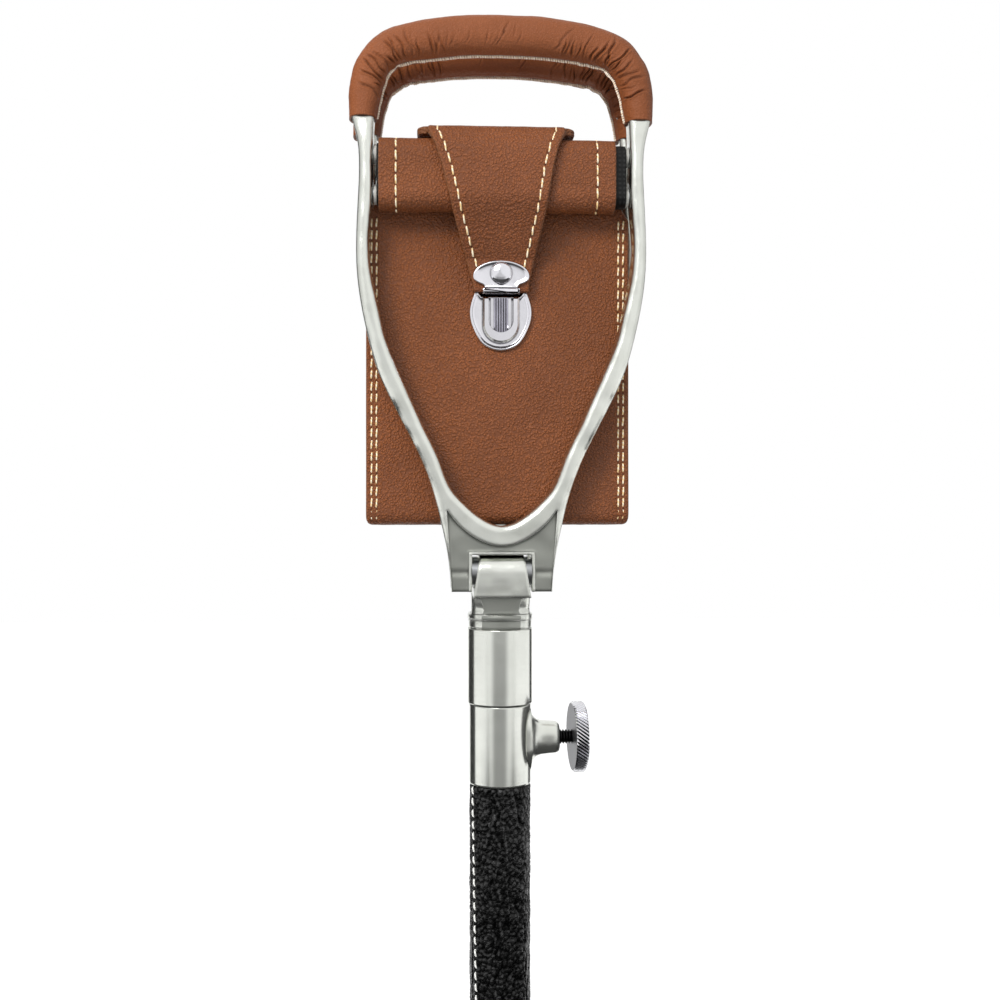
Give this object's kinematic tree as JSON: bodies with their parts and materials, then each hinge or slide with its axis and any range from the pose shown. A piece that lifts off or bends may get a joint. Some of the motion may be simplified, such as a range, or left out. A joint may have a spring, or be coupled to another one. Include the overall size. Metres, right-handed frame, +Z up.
{
  "type": "walking stick seat",
  "caption": "Walking stick that opens into a seat: cast metal frames with leather grips hinged on an adjustable stick, a leather sling between them, closed by a strap and clasp.",
  "frame": {"origin": "centre of the foot's base, on the ground", "axes": "+Z up along the stick, +X to the right of the front view, where the clamp knob is, -Y to the front, where the clasp is"},
  "size_m": [0.1298, 0.064, 0.865],
  "materials": {
    "cast_aluminium": "polished casting, bright edges, grey in the recesses",
    "bright_chrome": "polished plate",
    "turned_aluminium": "smooth turned and polished",
    "steel": "bright drawn steel",
    "spring_steel": "hard rolled strip",
    "tan_leather": "grained, satin",
    "grip_tan_leather": "smooth, satin, wrinkled at the bends",
    "black_leather": "coarse pebble grain, semi-gloss",
    "black_webbing": "woven",
    "black_rubber": "moulded, matte",
    "bush_nylon": "moulded"
  },
  "bodies": {
    "lower_stick": {"outer_tube": "steel", "tube_leather": "black_leather", "collar": "turned_aluminium", "end_socket": "bright_chrome", "ground_plate": "cast_aluminium", "spike": "steel"},
    "foot": {"rubber_foot": "black_rubber", "foot_washer": "steel"},
    "clamp_pad": {"clamp_pad": "steel"},
    "thumb_screw": {"screw_shank": "steel", "knob": "bright_chrome"},
    "guide_bush": {"guide_bush": "bush_nylon"},
    "upper_stick": {"inner_tube": "steel", "head_ferrule": "turned_aluminium", "head_cross_pin": "steel", "head_casting": "cast_aluminium", "pivot_pins": "steel", "pivot_washers": "steel"},
    "front_frame": {"front_frame": "cast_aluminium", "front_grip_leather": "grip_tan_leather", "front_cross_rods": "steel", "front_rod_webbing": "black_webbing", "front_rod_roll": "tan_leather", "front_rod_bushes": "bush_nylon"},
    "rear_frame": {"rear_frame": "cast_aluminium", "rear_grip_leather": "grip_tan_leather", "rear_cross_rods": "steel", "rear_rod_webbing": "black_webbing", "rear_rod_roll": "tan_leather", "rear_rod_bushes": "bush_nylon", "strap_anchor": "tan_leather"},
    "sling_fold": {"sling_fold": "tan_leather"},
    "front_panel": {"front_panel": "tan_leather", "clasp_plate": "bright_chrome", "clasp_case": "bright_chrome", "clasp_spring": "spring_steel", "clasp_backing": "steel"},
    "rear_panel": {"rear_panel": "tan_leather"},
    "clasp_slider": {"clasp_slider": "bright_chrome"},
    "strap_bridge": {"strap_bridge": "tan_leather"},
    "strap_flap": {"strap_flap": "tan_leather", "strap_end": "tan_leather", "hasp_plate": "bright_chrome", "hasp_rivet": "bright_chrome"}
  },
  "joints": [
    {"name": "foot_slide", "type": "slide", "parent": "lower_stick", "child": "foot", "axis": [0, 0, -1], "range_m": [0, 0.055]},
    {"name": "pad_slide", "type": "slide", "parent": "lower_stick", "child": "clamp_pad", "axis": [0.9986, 0.0523, 0], "range_m": [0, 0.0051]},
    {"name": "screw_turn", "type": "hinge", "parent": "clamp_pad", "child": "thumb_screw", "pos_m": [0, 0, 0.5531], "axis": [0.9986, 0.0523, 0], "range_deg": [0, 1440]},
    {"name": "height_slide", "type": "slide", "parent": "lower_stick", "child": "guide_bush", "axis": [0, 0, 1], "range_m": [0, 0.1]},
    {"name": "head_turn", "type": "hinge", "parent": "guide_bush", "child": "upper_stick", "pos_m": [0, 0, 0.4], "axis": [0, 0, 1], "continuous": true},
    {"name": "seat_open", "type": "hinge", "parent": "upper_stick", "child": "front_frame", "pos_m": [0, -0.013, 0.6267], "axis": [1, 0, 0], "range_deg": [0, 48], "deforming": ["sling_fold", "front_panel", "rear_panel", "strap_anchor", "strap_bridge", "strap_flap", "strap_end", "hasp_plate", "hasp_rivet"]},
    {"name": "rear_open", "type": "hinge", "parent": "upper_stick", "child": "rear_frame", "pos_m": [0, 0.013, 0.6267], "axis": [1, 0, 0], "range_deg": [-50, 0]},
    {"name": "sling_rise", "type": "slide", "parent": "upper_stick", "child": "sling_fold", "axis": [0, 0, 1], "range_m": [0, 0.043]},
    {"name": "front_panel_swing", "type": "hinge", "parent": "sling_fold", "child": "front_panel", "pos_m": [0, 0, 0.6525], "axis": [1, 0, 0], "range_deg": [0, 70]},
    {"name": "rear_panel_swing", "type": "hinge", "parent": "sling_fold", "child": "rear_panel", "pos_m": [0, 0, 0.6525], "axis": [1, 0, 0], "range_deg": [-70, 0]},
    {"name": "clasp_release", "type": "slide", "parent": "front_panel", "child": "clasp_slider", "axis": [0, 0, -1], "range_m": [0, 0.0025], "stiffness_N_per_m": 400, "deforming": ["clasp_spring"]},
    {"name": "strap_lower", "type": "hinge", "parent": "rear_frame", "child": "strap_bridge", "pos_m": [0, 0.013, 0.8141], "axis": [1, 0, 0], "range_deg": [-72, 0]},
    {"name": "strap_unbend", "type": "hinge", "parent": "strap_bridge", "child": "strap_flap", "pos_m": [0, -0.0193, 0.8115], "axis": [1, 0, 0], "range_deg": [-106, 0]}
  ],
  "couplings": [
    {"joint": "rear_open", "follows": "seat_open", "ratio": -1},
    {"joint": "sling_rise", "follows": "seat_open", "m_per_rad": 0.04966},
    {"joint": "front_panel_swing", "follows": "seat_open", "ratio": 1.4146},
    {"joint": "rear_panel_swing", "follows": "seat_open", "ratio": -1.4146},
    {"joint": "strap_lower", "follows": "seat_open", "ratio": -1.4583},
    {"joint": "strap_unbend", "follows": "seat_open", "ratio": -2.1458},
    {"joint": "pad_slide", "follows": "screw_turn", "m_per_rad": 0.00020213}
  ]
}
